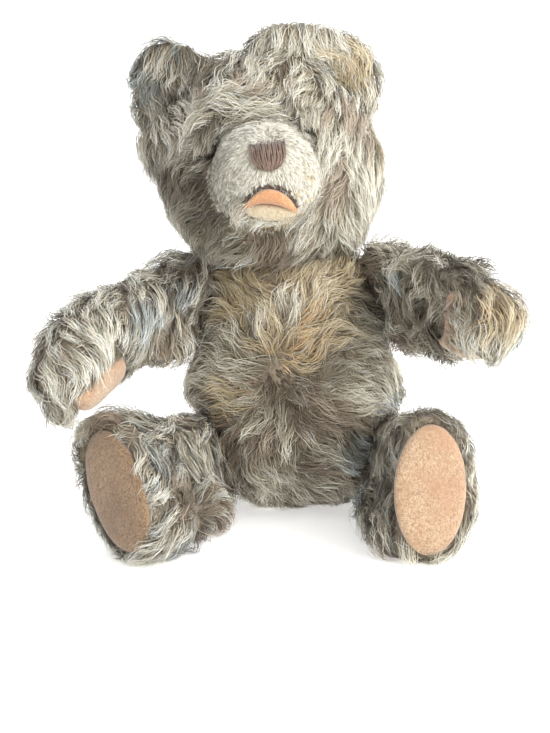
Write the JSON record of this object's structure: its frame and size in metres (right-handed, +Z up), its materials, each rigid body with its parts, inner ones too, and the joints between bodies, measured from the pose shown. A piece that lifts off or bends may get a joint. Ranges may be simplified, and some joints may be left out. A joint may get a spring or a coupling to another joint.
{
  "type": "teddy bear",
  "caption": "Seated jointed mohair teddy bear with a turning head and limbs, felt paw and foot pads, a shaved muzzle and an open felt mouth; worn, matted pile.",
  "frame": {"origin": "in the flat underside that it sits on, below the torso", "axes": "+Z up, the bear faces -Y, its own left side is at +X"},
  "size_m": [0.2066, 0.1652, 0.2327],
  "materials": {
    "mohair": "long curly pile, brown at the roots and pale at the tips",
    "peach_mohair": "long pile, peach",
    "clipped_mohair": "short clipped pile, cream",
    "peach_felt": "wool felt",
    "nose_thread": "satin-stitched cotton",
    "eye_glass": "dark brown glass",
    "wood_wool": "packed shavings",
    "hardboard": "pressed board",
    "pin_steel": "plain"
  },
  "bodies": {
    "torso": {"torso_cover": "mohair", "chest_bib": "peach_mohair", "torso_stuffing": "wood_wool", "growler": "hardboard", "neck_inner_disc": "hardboard", "neck_inner_washer": "pin_steel", "neck_cotter_pin": "pin_steel", "right_shoulder_inner_disc": "hardboard", "right_shoulder_inner_washer": "pin_steel", "right_shoulder_cotter_pin": "pin_steel", "left_shoulder_inner_disc": "hardboard", "left_shoulder_inner_washer": "pin_steel", "left_shoulder_cotter_pin": "pin_steel", "right_hip_inner_disc": "hardboard", "right_hip_inner_washer": "pin_steel", "right_hip_cotter_pin": "pin_steel", "left_hip_inner_disc": "hardboard", "left_hip_inner_washer": "pin_steel", "left_hip_cotter_pin": "pin_steel"},
    "head": {"head_cover": "mohair", "head_stuffing": "wood_wool", "muzzle_cover": "clipped_mohair", "muzzle_stuffing": "wood_wool", "nose_embroidery": "nose_thread", "mouth_felt": "peach_felt", "lower_lip": "clipped_mohair", "right_eye": "eye_glass", "left_eye": "eye_glass", "right_ear": "mohair", "left_ear": "mohair", "neck_outer_disc": "hardboard", "neck_outer_washer": "pin_steel"},
    "right_arm": {"right_arm_cover": "mohair", "right_arm_stuffing": "wood_wool", "right_paw_pad": "peach_felt", "right_shoulder_outer_disc": "hardboard", "right_shoulder_outer_washer": "pin_steel"},
    "right_leg": {"right_leg_cover": "mohair", "right_leg_stuffing": "wood_wool", "right_foot_pad": "peach_felt", "right_hip_outer_disc": "hardboard", "right_hip_outer_washer": "pin_steel"},
    "left_arm": {"left_arm_cover": "mohair", "left_arm_stuffing": "wood_wool", "left_paw_pad": "peach_felt", "left_shoulder_outer_disc": "hardboard", "left_shoulder_outer_washer": "pin_steel"},
    "left_leg": {"left_leg_cover": "mohair", "left_leg_stuffing": "wood_wool", "left_foot_pad": "peach_felt", "left_hip_outer_disc": "hardboard", "left_hip_outer_washer": "pin_steel"}
  },
  "joints": [
    {"name": "head_turn", "type": "hinge", "parent": "torso", "child": "head", "pos_m": [-0.007, 0.004, 0.1235], "axis": [-0.0797, -0.0299, 0.9964], "continuous": true},
    {"name": "right_arm_swing", "type": "hinge", "parent": "torso", "child": "right_arm", "pos_m": [-0.0395, 0.001, 0.0955], "axis": [-0.886, 0.352, 0.302], "range_deg": [0, 30]},
    {"name": "left_arm_swing", "type": "hinge", "parent": "torso", "child": "left_arm", "pos_m": [0.038, 0.001, 0.0975], "axis": [0.886, 0.352, 0.302], "range_deg": [-22, 20]},
    {"name": "right_leg_swing", "type": "hinge", "parent": "torso", "child": "right_leg", "pos_m": [-0.0325, -0.013, 0.025], "axis": [-0.9744, 0.2009, -0.1005], "range_deg": [-85, 0]},
    {"name": "left_leg_swing", "type": "hinge", "parent": "torso", "child": "left_leg", "pos_m": [0.0325, -0.013, 0.025], "axis": [0.9833, 0.1513, -0.1009], "range_deg": [0, 85]}
  ]
}
